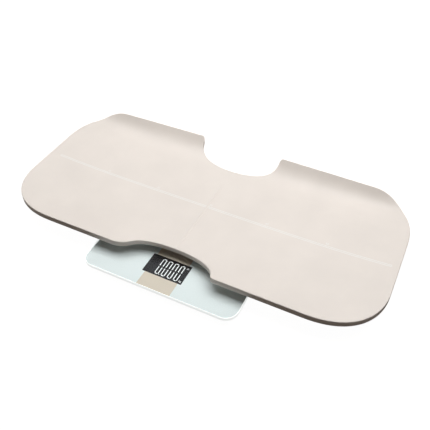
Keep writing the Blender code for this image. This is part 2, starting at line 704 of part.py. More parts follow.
def add_sheet(form, outline, lines, drop):
    """A curved sheet, drop below the tray's surface, with a wall hanging from its rim.

    Returns the edges along the foot of that wall.
    """
    sheet = bmesh.new()
    sheet.faces.new([sheet.verts.new((x, y, 0)) for x, y in outline])
    for point, normal in lines:
        everything = sheet.verts[:] + sheet.edges[:] + sheet.faces[:]
        bmesh.ops.bisect_plane(sheet, geom=everything, dist=0.000001, plane_co=point, plane_no=normal)
    flat = bpy.data.meshes.new("flat")
    sheet.to_mesh(flat)
    sheet.free()
    first = len(form.verts)
    form.from_mesh(flat)
    bpy.data.meshes.remove(flat)
    fresh = form.verts[first:]
    for vertex in fresh:
        vertex.co.z = tray_height(vertex.co.x, vertex.co.y) - drop
    rim = {edge for vertex in fresh for edge in vertex.link_edges if edge.is_boundary}
    wall = bmesh.ops.extrude_edge_only(form, edges=list(rim))
    low = [item for item in wall["geom"] if isinstance(item, bmesh.types.BMVert)]
    for vertex in low:
        vertex.co.z = foot_height(vertex.co.x, vertex.co.y)
    return [item for item in wall["geom"] if isinstance(item, bmesh.types.BMEdge) and item.is_boundary
            and item.verts[0] in low and item.verts[1] in low]


def tray_shell_mesh():
    """Dished panel and skirt as one closed shell, with the groove along its middle."""
    form = bmesh.new()
    half = GROOVE_WIDTH / 2
    across = [x for x in spread(-TRAY_LENGTH / 2, TRAY_LENGTH / 2, TRAY_COLUMNS) if abs(x) > 2 * MM]
    front, rear = TRAY_Y - TRAY_DEPTH / 2, TRAY_Y + TRAY_DEPTH / 2
    columns_at = [((x, 0, 0), (1, 0, 0)) for x in across]
    groove_at = [((x, 0, 0), (1, 0, 0)) for x in (-half, -half / 2, half / 2, half)]
    rows_at = [((0, y, 0), (0, 1, 0)) for y in spread(front, rear, TRAY_ROWS, ROW_CROWDING)]
    groove_end = [((0, GROOVE_REAR_Y, 0), (0, 1, 0))]
    outline = tray_outline()
    foot = add_sheet(form, outline, columns_at + groove_at + rows_at + groove_end, 0.0)
    for vertex in form.verts:
        on_top = vertex.co.z > tray_height(vertex.co.x, vertex.co.y) - 1 * MM
        if on_top and abs(vertex.co.x) < half * 0.75 and vertex.co.y < GROOVE_REAR_Y - 1 * MM:
            vertex.co.z -= GROOVE_DEPTH
    foot += add_sheet(form, inset(outline, SKIRT_WALL), columns_at + rows_at, PANEL)
    bmesh.ops.bridge_loops(form, edges=foot)
    bmesh.ops.recalc_face_normals(form, faces=form.faces)
    mesh = bpy.data.meshes.new("shell")
    form.to_mesh(mesh)
    form.free()
    return mesh


def rib_mesh(path, depth):
    """A straight rib along plan points: its top is inside the panel, its foot follows the dish."""
    form = bmesh.new()
    along = (Vector(path[-1]) - Vector(path[0])).normalized()
    aside = Vector((-along.y, along.x)) * RIB_WALL / 2
    for x, y in path:
        top = tray_height(x, y) - PANEL / 2
        for offset in (aside, -aside):
            form.verts.new((x + offset.x, y + offset.y, top))
    form.verts.ensure_lookup_table()
    for step in range(len(path) - 1):
        a, b, c, d = (form.verts[2 * step + index] for index in (0, 1, 3, 2))
        form.faces.new((a, b, c, d))
    lower = bmesh.ops.extrude_face_region(form, geom=form.faces[:])
    moved = [item for item in lower["geom"] if isinstance(item, bmesh.types.BMVert)]
    bmesh.ops.translate(form, vec=(0, 0, -(depth - PANEL / 2)), verts=moved)
    bmesh.ops.recalc_face_normals(form, faces=form.faces)
    mesh = bpy.data.meshes.new("rib")
    form.to_mesh(mesh)
    form.free()
    return mesh


def rib_meshes():
    """Ribs under the tray's two wings, clear of the underframe."""
    front, rear = TRAY_Y - TRAY_DEPTH / 2, TRAY_Y + TRAY_DEPTH / 2
    bends = [y + RIB_STAGGER for y in spread(front, rear, TRAY_ROWS, ROW_CROWDING)]
    meshes = []
    for side in (-1, 1):
        for x, margin in [(x, PANEL / 2) for x in CROSS_RIBS_X] + [(END_RIB_X, END_RIB_MARGIN)]:
            low, high = front + margin, rear - margin
            inner = [y for y in bends if low + 1 * MM < y < high - 1 * MM]
            meshes.append(rib_mesh([(side * x, y) for y in [low, *inner, high]], RIB_DEPTH))
        near, far = CROSS_RIBS_X[0] - RIB_WALL / 4, TRAY_LENGTH / 2 - PANEL / 2
        reach = [near, *spread(near, far, MIDDLE_RIB_STEPS), far]
        meshes.append(rib_mesh([(side * x, TRAY_Y) for x in reach], MIDDLE_RIB_DEPTH))
    return meshes


TRAY_SCREWS = [(side * SCREW_SIDE_X, FRAME_Y) for side in (-1, 1)]
TRAY_SCREWS += [(side * SCREW_END[0], FRAME_Y + end * SCREW_END[1]) for end in (-1, 1) for side in (-1, 1)]


def screw_boss(index, x, y):
    """Bored boss that hangs from the panel and meets the underframe."""
    low = FRAME_LOW + FRAME_THICKNESS + GAP
    under = tray_height(x, y) - PANEL
    boss = tool(rod_mesh(4.5 * MM, low, under + 1 * MM, 20), f"boss_{index}", (x, y, 0))
    bore = rod_mesh(SCREW_WAY, low - 1 * MM, under - 0.2 * MM, 12)
    cut(boss, tool(bore, f"bore_{index}", (x, y, 0)))
    return boss


def make_tray():
    """One moulding: a dished panel with a skirt, and ribs and screw bosses under it."""
    tray = place(tray_shell_mesh(), "tray_shell", TRAY_PLASTIC)
    stiffeners = [tool(mesh, f"rib_{index}") for index, mesh in enumerate(rib_meshes())]
    stiffeners += [screw_boss(index, x, y) for index, (x, y) in enumerate(TRAY_SCREWS)]
    fuse_all(tray, "tray_stiffeners", stiffeners)


# --- tray underframe ---------------------------------------------------------------------------
def make_underframe():
    """Ring screwed under the tray. Its tabs reach down outside the glass and locate it."""
    half_x, half_y = FRAME_OUTER[0] / 2, FRAME_OUTER[1] / 2
    high = FRAME_LOW + FRAME_THICKNESS
    middle = (0, FRAME_Y)
    outer = rounded_rectangle(half_x, half_y, 14 * MM, middle)
    inner = rounded_rectangle(half_x - FRAME_BAND, half_y - FRAME_BAND, 6 * MM, middle)
    frame = place(prism_mesh(outer, FRAME_LOW, high), "tray_underframe", FRAME_PLASTIC)
    cut(frame, tool(prism_mesh(inner, FRAME_LOW - 1 * MM, high + 1 * MM), "frame_window"))
    glass_side = GLASS_SIZE / 2 + GUIDE_CLEARANCE
    glass_rear = GLASS_Y + GLASS_SIZE / 2 + GUIDE_CLEARANCE
    root = 5 * MM                   # how far an arm reaches into the ring
    arms = []
    for side in (-1, 1):
        for middle_y in (FRAME_Y - TAB_SIDE_Y, FRAME_Y + TAB_SIDE_Y):
            front, rear = middle_y - TAB_ACROSS / 2, middle_y + TAB_ACROSS / 2
            start, end = sorted((side * (half_x - root), side * (glass_side + GUIDE_WALL)))
            arms.append(((start, front, FRAME_LOW), (end, rear, high)))
            start, end = sorted((side * glass_side, side * (glass_side + GUIDE_WALL)))
            arms.append(((start, front, GUIDE_LOW), (end, rear, FRAME_LOW + 2 * MM)))
        left = side * TAB_REAR_X - TAB_REAR_ACROSS / 2
        right = side * TAB_REAR_X + TAB_REAR_ACROSS / 2
        rear = glass_rear + GUIDE_WALL
        arms.append(((left, FRAME_Y + half_y - root, FRAME_LOW), (right, rear, high)))
        arms.append(((left, glass_rear, GUIDE_LOW), (right, rear, FRAME_LOW + 2 * MM)))
    for index, (low_corner, high_corner) in enumerate(arms):
        fuse(frame, tool(box_mesh(low_corner, high_corner), f"arm_{index}"))
    for index, (x, y) in enumerate(TRAY_SCREWS):
        sink = rod_mesh(3.5 * MM, FRAME_LOW - 1 * MM, FRAME_LOW + HEAD_SINK, 20)
        cut(frame, tool(sink, f"head_{index}", (x, y, 0)))
        way = rod_mesh(SCREW_WAY, FRAME_LOW, high + 1 * MM, 12)
        cut(frame, tool(way, f"clear_{index}", (x, y, 0)))


def make_tray_pads():
    profile = [(0, PAD_THICKNESS), (PAD_RADIUS, PAD_THICKNESS), (PAD_RADIUS, 0.5 * MM),
               (PAD_RADIUS - 0.5 * MM, 0), (0, 0)]
    number = 0
    for end in (-1, 1):
        for side in (-1, 1):
            number += 1
            at = (side * PAD_PLACE[0], FRAME_Y + end * PAD_PLACE[1], GLASS_TOP + GAP)
            turned(profile, f"tray_pad_{number}", RUBBER, at, steps=24)


def make_tray_screws():
    head_high = FRAME_LOW + HEAD_SINK - GAP
    profile = screw_profile(3.0 * MM, head_high - 2.2 * MM, head_high, 1.5 * MM, 34.6 * MM)
    for number, (x, y) in enumerate(TRAY_SCREWS, start=1):
        name = f"tray_screw_{number}"
        screw = turned(profile, name, SCREW_STEEL, (x, y, 0), steps=12)
        cross_recess(screw, name, (x, y, 0), head_high - 3 * MM, head_high - 1.2 * MM)


make_glass()
make_feet()
make_cables()
make_cable_clips()
make_case()
make_display()
make_board()
make_unit_button()
make_battery_parts()
make_battery_door()
make_board_screws()
make_tray()
make_underframe()
make_tray_pads()
make_tray_screws()
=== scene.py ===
"""Looks for the glass bathroom scale and its lift-off weighing tray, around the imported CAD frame.

Metres, +Z up, +X to the right, the display at the front (-Y), the origin on the floor.
"""
import json
import math

import bmesh
import bpy
import numpy as np
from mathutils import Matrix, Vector
from mathutils.geometry import delaunay_2d_cdt


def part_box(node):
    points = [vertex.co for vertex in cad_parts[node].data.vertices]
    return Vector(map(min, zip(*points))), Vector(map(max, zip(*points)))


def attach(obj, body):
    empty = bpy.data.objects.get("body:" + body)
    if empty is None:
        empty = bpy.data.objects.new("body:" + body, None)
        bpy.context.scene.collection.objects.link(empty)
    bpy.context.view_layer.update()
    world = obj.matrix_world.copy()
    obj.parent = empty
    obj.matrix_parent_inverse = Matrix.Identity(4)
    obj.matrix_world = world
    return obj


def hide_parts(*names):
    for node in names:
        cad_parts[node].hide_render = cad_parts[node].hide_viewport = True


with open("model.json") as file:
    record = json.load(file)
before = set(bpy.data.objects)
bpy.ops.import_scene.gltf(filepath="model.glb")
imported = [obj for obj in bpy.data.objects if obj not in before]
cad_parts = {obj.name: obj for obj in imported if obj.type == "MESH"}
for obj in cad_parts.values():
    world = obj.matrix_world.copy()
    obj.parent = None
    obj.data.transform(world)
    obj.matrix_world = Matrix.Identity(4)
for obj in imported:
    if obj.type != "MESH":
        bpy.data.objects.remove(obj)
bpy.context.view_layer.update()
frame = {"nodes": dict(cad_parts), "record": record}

MM = 0.001

# --- places taken from the frame ---------------------------------------------------------------
TRAY_LOW, TRAY_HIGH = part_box("tray_shell")
GLASS_LOW, GLASS_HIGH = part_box("glass_platform")
LCD_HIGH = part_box("lcd_panel")[1]
TRAY_LENGTH = TRAY_HIGH.x - TRAY_LOW.x
TRAY_DEPTH = TRAY_HIGH.y - TRAY_LOW.y
TRAY_Y = (TRAY_HIGH.y + TRAY_LOW.y) / 2

# --- the tray's form, from the CAD's driving values --------------------------------------------
TRAY_EDGE_Z = 46.3 * MM             # top of the tray along its front edge
FRONT_CORNER = (103 * MM, 91 * MM, 2.3)     # half axes and power of the corner's rounding
REAR_CORNER = (81 * MM, 95 * MM, 2.6)
DISH_DEPTH = 8.2 * MM
DISH_POWER_X = 4.0
DISH_POWER_Y = 3.0
LIP_HEIGHT = 20.8 * MM              # raised rear edge, beside the cut-out
LIP_WIDTH = 46 * MM
LIP_POWER = 3.0
LIP_EVEN = 80 * MM                  # half length of the lip's even middle
LIP_FADE_POWER = 1.2
LIP_NARROWING = 0.4                 # share of its width that the lip loses by the tray's ends
LIP_LOWERING = 0.15                 # share of its height
PANEL = 3.0 * MM
SKIRT_WALL = 2.6 * MM
SKIRT = 10.4 * MM
FOOT_SINKING = 0.5                  # share of the dish that the skirt's foot follows
RIB_DEPTH = 9.0 * MM
MIDDLE_RIB_DEPTH = 8.4 * MM
RIB_WALL = 2.0 * MM
RIB_TAPER = 0.7                     # width of a rib's foot over its root
RIB_OVERLAP = 0.05 * MM             # how far ribs and bosses run into the panel
RIB_REACH = 0.2 * MM                # and into the skirt
CROSS_RIBS_X = (148 * MM, 206 * MM)
END_RIB_X = 262 * MM
END_RIB_MARGIN = 12 * MM            # from the end ribs to the skirt's inner face
NOTCH_FRONT = (73 * MM, 30.6 * MM, 2.25)    # half width, depth, power
NOTCH_REAR = (73.4 * MM, 41.4 * MM, 2.15)
SHOULDER_FRONT_LEFT = 36 * MM
SHOULDER_FRONT_RIGHT = 6 * MM
SHOULDER_REAR = 5 * MM
GROOVE_HALF = 0.5 * MM
GROOVE_DEPTH = 0.45 * MM            # shallower than the CAD's, to be as faint as a moulded line
GROOVE_FLOOR_HALF = 0.12 * MM
GROOVE_RUN_OUT = 4 * MM             # length over which its ends run out
GROOVE_STEP = 2 * MM
GROOVE_FRONT_Y = TRAY_LOW.y + NOTCH_FRONT[1] + 3 * MM
GROOVE_REAR_Y = TRAY_Y + 56 * MM
RIM_RADIUS = 1.4 * MM
FOOT_RADIUS = 0.8 * MM
INNER_FILLET = 1.5 * MM
OUTLINE_STEP = 2.5 * MM             # mesh spacing along the rim
GRID_STEP = 5.0 * MM                # and over the sheets
GRID_CLEARANCE = 0.55 * GRID_STEP
SAME_POINT = 1e-7                   # metres within which the sheet has one point
RIB_STEP = 4.0 * MM                 # mesh spacing along a rib
FRAME_Y = 5 * MM                    # middle of the underframe and its screws
SCREW_SIDE_X = 112.5 * MM
SCREW_END = (55 * MM, 71.5 * MM)
BOSS_FOOT = (3.9 * MM, 0.4 * MM)    # radius, and height of its bevel
BOSS_RADII = (4.5 * MM, 4.3 * MM)   # at the panel and above the bevel
BOSS_BORE = 1.9 * MM
BOSS_ROOF = 0.3 * MM                # from the bore's end to the panel
BOSS_GAP = 0.3 * MM                 # between a boss and the underframe
TRAY_SCREWS = [(side * SCREW_SIDE_X, FRAME_Y) for side in (-1, 1)]
TRAY_SCREWS += [(side * SCREW_END[0], FRAME_Y + end * SCREW_END[1]) for end in (-1, 1) for side in (-1, 1)]

# --- the glass and its print -------------------------------------------------------------------
GLASS_CORNER = 21 * MM
ARRIS = 0.8 * MM                    # rounding of the plate's edges
WINDOW = (67.2 * MM, 38 * MM)
WINDOW_PLACE = (-2.1 * MM, -111.2 * MM)
WINDOW_CORNER = 0.8 * MM
STRIPE_HALF = 28.3 * MM
PRINT_MARGIN = 0.9 * MM             # bare rim between the print and the plate's edge
PRINT_HALF_THICKNESS = 0.05 * MM
WELD = 1e-6                         # metres within which vertices are joined

# --- the display's digits ----------------------------------------------------------------------
DIGIT_HEIGHT = 29.6 * MM
DIGIT_WIDTH = 6.9 * MM
DIGIT_PITCH = 10.6 * MM
DIGIT_LEFT = -15.9 * MM             # centre line of the first digit's left bars
BREAK_HALF = 0.5 * MM               # half the break at a digit's waist, before trimming
STROKE = 1.35 * MM
SEGMENT_GAP = 0.35 * MM             # trimmed off each end of a bar
SEGMENT_THICKNESS = 0.05 * MM
SEGMENT_HEIGHT = LCD_HIGH.z + 0.04 * MM
POINT_GAP = 0.6 * MM
POINT_HALF = 1.3 * MM
UNIT_SIZE = 4.6 * MM
UNIT_X = 26.8 * MM
UNIT_INSET = 1.6 * MM

# --- the ruler printed on the tray -------------------------------------------------------------
RULER_START = -296 * MM             # the ruler's left end
RULER_LENGTH = 600 * MM
RULER_HALF = 1.5 * MM               # from its middle to each rail
RULER_GAP_HALF = 1.5 * MM           # the rails are open where the groove crosses
RAIL_WIDTH = 1.0 * MM
TICK_WIDTH = 0.45 * MM
SHORT_TICK = 0.8                    # share of RULER_HALF; the fifth ticks span both rails
CENTIMETRE = 10 * MM
NUMBER_SIZE = 5.5 * MM
NUMBER_RISE = 4.5 * MM              # from the rear rail to the middle of a number
INK_LIFT = 0.06 * MM                # of the ink above the tray
INK_THICKNESS = 0.03 * MM
INK_STEP = (6 * MM, 3 * MM)         # longest faces of an ink bar along X and Y

# --- camera, light and floor -------------------------------------------------------------------
CAMERA_PLACE = (0.3085, -0.5778, 0.6722)
CAMERA_AZIMUTH = math.radians(26.19)
CAMERA_ELEVATION = math.radians(44.15)
CAMERA_LENS = 46.87
AMBIENT_COLOUR = (0.07, 0.062, 0.055, 1)
REFLECTED_TONE = 0.3
SEEN_TONE = 1.0
FLOOR_COLOUR = (0.145, 0.118, 0.10, 1)
FLOOR_GLOW = 0.98
FLOOR_HALF = 6.0


# --- setting -----------------------------------------------------------------------------------
def make_camera():
    data = bpy.data.cameras.new("camera")
    data.lens = CAMERA_LENS
    camera = bpy.data.objects.new("camera", data)
    camera.location = CAMERA_PLACE
    camera.rotation_euler = (math.pi / 2 - CAMERA_ELEVATION, 0, CAMERA_AZIMUTH)
    bpy.context.scene.collection.objects.link(camera)
    bpy.context.scene.camera = camera


def softbox(name, place, tilt, size, power):
    """A rectangular softbox that faces down, then is tilted about X and Y by angles in degrees."""
    data = bpy.data.lights.new(name, "AREA")
    data.shape = "RECTANGLE"
    data.size, data.size_y = size
    data.energy = power
    lamp = bpy.data.objects.new(name, data)
    lamp.location = place
    lamp.rotation_euler = (math.radians(tilt[0]), math.radians(tilt[1]), 0)
    bpy.context.scene.collection.objects.link(lamp)


def make_light():
    """Three softboxes in a surround that is white to the camera and mid-grey in reflections."""
    softbox("overhead_softbox", (-0.05, 0.16, 1.2), (0, 0), (1.7, 0.72), 15.6)
    softbox("rear_softbox", (0.35, 0.8, 1.3), (-25, 0), (1.1, 1.0), 2.8)
    softbox("left_softbox", (-1.5, -0.3, 0.5), (0, -75), (0.8, 0.6), 2.0)
    world = bpy.data.worlds.new("studio")
    world.use_nodes = True
    nodes, links = world.node_tree.nodes, world.node_tree.links
    background = nodes["Background"]
    background.inputs["Color"].default_value = AMBIENT_COLOUR
    seen = background.outputs[0]
    path = nodes.new("ShaderNodeLightPath")
    for ray, tone in (("Is Glossy Ray", REFLECTED_TONE), ("Is Camera Ray", SEEN_TONE)):
        surround = nodes.new("ShaderNodeBackground")
        surround.inputs["Color"].default_value = (tone, tone, tone, 1)
        mix = nodes.new("ShaderNodeMixShader")
        links.new(path.outputs[ray], mix.inputs[0])
        links.new(seen, mix.inputs[1])
        links.new(surround.outputs[0], mix.inputs[2])
        seen = mix.outputs[0]
    links.new(seen, nodes["World Output"].inputs["Surface"])
    bpy.context.scene.world = world
    bpy.context.scene.view_settings.view_transform = "Standard"


def make_floor():
    """Matt floor with a glow that only the camera sees, so it looks white and throws back little light."""
    form = bmesh.new()
    bmesh.ops.create_grid(form, x_segments=4, y_segments=4, size=FLOOR_HALF)
    mesh = bpy.data.meshes.new("floor")
    form.to_mesh(mesh)
    form.free()
    floor = bpy.data.objects.new("floor", mesh)
    bpy.context.scene.collection.objects.link(floor)
    made = bpy.data.materials.new("floor")
    made.use_nodes = True
    nodes, links = made.node_tree.nodes, made.node_tree.links
    matt = nodes["Principled BSDF"]
    matt.inputs["Base Color"].default_value = FLOOR_COLOUR
    matt.inputs["Roughness"].default_value = 0.9
    glow = nodes.new("ShaderNodeEmission")
    glow.inputs["Strength"].default_value = FLOOR_GLOW
    both = nodes.new("ShaderNodeAddShader")
    path = nodes.new("ShaderNodeLightPath")
    mix = nodes.new("ShaderNodeMixShader")
    links.new(glow.outputs[0], both.inputs[0])
    links.new(matt.outputs[0], both.inputs[1])
    links.new(path.outputs["Is Camera Ray"], mix.inputs[0])
    links.new(matt.outputs[0], mix.inputs[1])
    links.new(both.outputs[0], mix.inputs[2])
    links.new(mix.outputs[0], nodes["Material Output"].inputs["Surface"])
    mesh.materials.append(made)


# --- materials ---------------------------------------------------------------------------------
class Surface:
    """A new node material, with short ways to add the nodes that the finishes below share."""

    def __init__(self, name):
        self.material = bpy.data.materials.new(name)
        self.material.use_nodes = True
        self.tree = self.material.node_tree
        self.shader = self.tree.nodes["Principled BSDF"]
        self.place = self.tree.nodes.new("ShaderNodeTexCoord").outputs["Object"]

    def set(self, **values):
        for name, value in values.items():
            self.shader.inputs[name.replace("_", " ")].default_value = value
        return self

    def stretched(self, scale):
        """Object coordinates, scaled differently along each axis."""
        node = self.tree.nodes.new("ShaderNodeMapping")
        node.inputs["Scale"].default_value = scale
        self.tree.links.new(self.place, node.inputs["Vector"])
        return node.outputs["Vector"]

    def noise(self, grain, detail=2.0, where=None):
        """Noise with features about one grain across, in metres."""
        node = self.tree.nodes.new("ShaderNodeTexNoise")
        node.inputs["Scale"].default_value = 1.0 / grain
        node.inputs["Detail"].default_value = detail
        self.tree.links.new(where or self.place, node.inputs["Vector"])
        return node.outputs["Fac"]

    def ramp(self, factor, low, high, start=0.3, end=0.7):
        """Colour that goes from low to high as the factor goes from start to end."""
        node = self.tree.nodes.new("ShaderNodeValToRGB")
        first, last = node.color_ramp.elements
        first.position, first.color = start, (*low, 1)
        last.position, last.color = end, (*high, 1)
        self.tree.links.new(factor, node.inputs["Fac"])
        return node.outputs["Color"]

    def span(self, factor, low, high, start=0.3, end=0.7):
        """Number that goes from low to high as the factor goes from start to end."""
        node = self.tree.nodes.new("ShaderNodeMapRange")
        for name, value in (("From Min", start), ("From Max", end), ("To Min", low), ("To Max", high)):
            node.inputs[name].default_value = value
        self.tree.links.new(factor, node.inputs["Value"])
        return node.outputs["Result"]

    def colour(self, output):
        self.tree.links.new(output, self.shader.inputs["Base Color"])

    def roughness(self, output):
        self.tree.links.new(output, self.shader.inputs["Roughness"])

    def bump(self, height, distance, strength=1.0):
        node = self.tree.nodes.new("ShaderNodeBump")
        node.inputs["Strength"].default_value = strength
        node.inputs["Distance"].default_value = distance
        self.tree.links.new(height, node.inputs["Height"])
        self.tree.links.new(node.outputs["Normal"], self.shader.inputs["Normal"])


def tinted(colour, factor):
    return tuple(min(1.0, channel * factor) for channel in colour)


def moulded_plastic(name, colour, roughness, grain=0.7 * MM, relief=0.02 * MM, mottle=0.025):
    """Moulded plastic: a fine eroded grain, slow drifts of tone and a satin sheen that varies."""
    made = Surface(name)
    drift = made.noise(55 * MM, 3.0)
    made.colour(made.ramp(drift, tinted(colour, 1 - mottle), tinted(colour, 1 + mottle)))
    texture = made.noise(grain, 3.0)
    made.roughness(made.span(texture, roughness - 0.06, roughness + 0.06))
    made.bump(texture, relief)
    return made.material


def rubber(name, colour):
    made = Surface(name)
    bloom = made.noise(6 * MM, 4.0)
    made.colour(made.ramp(bloom, tinted(colour, 0.85), tinted(colour, 1.25)))
    texture = made.noise(0.4 * MM, 2.0)
    made.roughness(made.span(texture, 0.72, 0.9))
    made.bump(texture, 0.03 * MM)
    return made.material


def brushed_steel(name, colour, roughness, along=(1.0, 18.0, 1.0)):
    """Rolled or brushed steel with its fine lines along one axis."""
    made = Surface(name).set(Metallic=1.0)
    lines = made.noise(2.5 * MM, 3.0, made.stretched(along))
    made.colour(made.ramp(lines, tinted(colour, 0.88), tinted(colour, 1.05)))
    made.roughness(made.span(lines, roughness - 0.07, roughness + 0.09))
    made.bump(lines, 0.004 * MM)
    return made.material


def clear_glass(name):
    """Clear tempered glass, faintly green, with a trace of wiping marks in its polish."""
    made = Surface(name).set(Transmission_Weight=1.0, IOR=1.5)
    made.set(Base_Color=(0.955, 0.985, 0.975, 1))
    smears = made.noise(35 * MM, 4.0, made.stretched((1.0, 3.0, 1.0)))
    made.roughness(made.span(smears, 0.0, 0.012))
    return made.material


def ground_edge(name):
    """Ground edge of the plate: frosted white, with a painted glow that stands in for the light the plate
    carries to its edge.
    """
    # The emission is a painted glow on the edge faces, not a lamp.
    made = Surface(name).set(Emission_Strength=0.7)
    made.set(Emission_Color=(0.93, 0.97, 0.96, 1))
    frost = made.noise(0.8 * MM, 3.0)
    made.colour(made.ramp(frost, (0.86, 0.90, 0.89), (0.93, 0.96, 0.95)))
    made.roughness(made.span(frost, 0.5, 0.7))
    return made.material


def printed_enamel(name, colour):
    """Screen-printed coat behind the glass: flat, with a soft screen grain."""
    made = Surface(name)
    screen = made.noise(0.5 * MM, 2.0)
    made.colour(made.ramp(screen, tinted(colour, 0.985), tinted(colour, 1.015)))
    made.roughness(made.span(screen, 0.45, 0.6))
    return made.material


def lcd_surface(name):
    """Dark display cell: nearly black, a little uneven, glossy."""
    made = Surface(name)
    cell = made.noise(9 * MM, 2.0)
    made.colour(made.ramp(cell, (0.007, 0.006, 0.010), (0.010, 0.009, 0.014)))
    made.roughness(made.span(cell, 0.12, 0.2))
    return made.material


def lit_segments(name):
    """White segments of the display, with light behind them."""
    made = Surface(name).set(Emission_Strength=0.35)
    made.set(Emission_Color=(1, 1, 1, 1))
    glow = made.noise(4 * MM, 1.0)
    made.colour(made.ramp(glow, (0.84, 0.86, 0.87), (0.92, 0.93, 0.94)))
    made.roughness(made.span(glow, 0.35, 0.5))
    return made.material


def ruler_ink(name):
    made = Surface(name)
    edge = made.noise(0.6 * MM, 2.0)
    made.colour(made.ramp(edge, (0.90, 0.89, 0.86), (0.95, 0.94, 0.92)))
    made.roughness(made.span(edge, 0.35, 0.5))
    return made.material


def circuit_board(name):
    """Green solder mask with the shadow of copper tracks under it."""
    made = Surface(name)
    tracks = made.tree.nodes.new("ShaderNodeTexBrick")
    tracks.inputs["Scale"].default_value = 160.0
    tracks.inputs["Mortar Size"].default_value = 0.03
    tracks.inputs["Color1"].default_value = (0.010, 0.16, 0.055, 1)
    tracks.inputs["Color2"].default_value = (0.014, 0.19, 0.065, 1)
    tracks.inputs["Mortar"].default_value = (0.03, 0.27, 0.10, 1)
    made.tree.links.new(made.place, tracks.inputs["Vector"])
    made.colour(tracks.outputs["Color"])
    mask = made.noise(1.2 * MM, 2.0)
    made.roughness(made.span(mask, 0.28, 0.4))
    made.bump(mask, 0.01 * MM)
    return made.material


TRAY_COLOUR = (0.83, 0.77, 0.715)


def make_materials():
    """One finish for each material slot of the record."""
    return {
        "tempered_glass": clear_glass("tempered_glass"),
        "tray_plastic": moulded_plastic("tray_plastic", TRAY_COLOUR, 0.5),
        "underframe_plastic": moulded_plastic("underframe_plastic", (0.55, 0.50, 0.45), 0.52),
        "case_plastic": moulded_plastic("case_plastic", (0.72, 0.73, 0.72), 0.5),
        "foot_plastic": moulded_plastic("foot_plastic", (0.76, 0.77, 0.76), 0.48),
        "button_plastic": moulded_plastic("button_plastic", (0.12, 0.17, 0.21), 0.45),
        "light_guide": moulded_plastic("light_guide", (0.85, 0.86, 0.85), 0.3, relief=0.005 * MM),
        "chip_black": moulded_plastic("chip_black", (0.02, 0.02, 0.021), 0.45, grain=0.3 * MM),
        "elastomer": moulded_plastic("elastomer", (0.62, 0.33, 0.30), 0.65, grain=0.4 * MM),
        "cable_jacket": moulded_plastic("cable_jacket", (0.035, 0.035, 0.037), 0.5, grain=0.5 * MM),
        "rubber": rubber("rubber", (0.045, 0.045, 0.046)),
        "spring_steel": brushed_steel("spring_steel", (0.60, 0.59, 0.57), 0.32),
        "screw_steel": brushed_steel("screw_steel", (0.55, 0.55, 0.56), 0.28, (3.0, 3.0, 1.0)),
        "cell_steel": brushed_steel("cell_steel", (0.68, 0.68, 0.67), 0.22, (6.0, 1.0, 1.0)),
        "lcd_glass": lcd_surface("lcd_glass"),
        "board_green": circuit_board("board_green"),
    }


# --- outlines ----------------------------------------------------------------------------------
def dish_depth(x, y):
    u = min(abs(x) / (TRAY_LENGTH / 2), 1.0)
    v = min(abs(y - TRAY_Y) / (TRAY_DEPTH / 2), 1.0)
    return DISH_DEPTH * (1 - u ** DISH_POWER_X) * (1 - v ** DISH_POWER_Y)


def tray_height(x, y):
    """Height of the tray's upper surface: a wide shallow dish, and a rear lip that fades to the ends."""
    fade = max(0.0, (abs(x) - LIP_EVEN) / (TRAY_LENGTH / 2 - LIP_EVEN)) ** LIP_FADE_POWER
    width = LIP_WIDTH * (1 - LIP_NARROWING * fade)
    rise = max(0.0, y - (TRAY_Y + TRAY_DEPTH / 2 - width)) / width
    lip = LIP_HEIGHT * (1 - LIP_LOWERING * fade) * rise ** LIP_POWER
    return TRAY_EDGE_Z - dish_depth(x, y) + lip


def skirt_height(x, y, drop):
    """Height of a point on the skirt, drop below the surface: the foot follows only part of the dish."""
    root = PANEL + INNER_FILLET
    share = max(0.0, drop - root) / (SKIRT - root)
    return tray_height(x, y) - drop + share * (1 - FOOT_SINKING) * dish_depth(x, y)


def corner_points(side_x, side_y, corner, steps=40):
    """A corner's superellipse, from the end of the tray round to its long edge."""
    reach_x, reach_y, power = corner
    points = []
    for step in range(steps + 1):
        angle = step / steps * math.pi / 2
        x = reach_x * math.cos(angle) ** (2 / power)
        y = reach_y * math.sin(angle) ** (2 / power)
        points.append((side_x * (TRAY_LENGTH / 2 - reach_x + x),
                       TRAY_Y + side_y * (TRAY_DEPTH / 2 - reach_y + y)))
    return points


def notch_side(notch, radius, steps=36, round_steps=12):
    """Half of a notch, from its shoulder on the edge line to its deepest point.

    Points are (distance from the middle, depth below the edge line). The shoulder is a circle that
    touches the edge line and the notch's own curve, found by halving the interval.
    """
    half, depth, power = notch

    def on_curve(angle):
        return Vector((half * math.cos(angle) ** (2 / power), depth * math.sin(angle) ** (2 / power)))

    def outward(point):
        return Vector(((point.x / half) ** (power - 1) / half,
                       (point.y / depth) ** (power - 1) / depth)).normalized()

    low, high = 1e-6, math.pi / 2 - 1e-6
    for _ in range(50):
        angle = (low + high) / 2
        point = on_curve(angle)
        if point.y + radius * outward(point).y > radius:
            high = angle
        else:
            low = angle
    touch = on_curve(low)
    centre = touch + radius * outward(touch)
    finish = math.atan2(touch.y - centre.y, touch.x - centre.x)
    if finish > 0:
        finish -= 2 * math.pi
    points = []
    for step in range(round_steps + 1):
        turn = -math.pi / 2 + (finish + math.pi / 2) * step / round_steps
        points.append((centre.x + radius * math.cos(turn), centre.y + radius * math.sin(turn)))
    for step in range(1, steps + 1):
        point = on_curve(low + (math.pi / 2 - low) * step / steps)
        points.append((point.x, point.y))
    return points


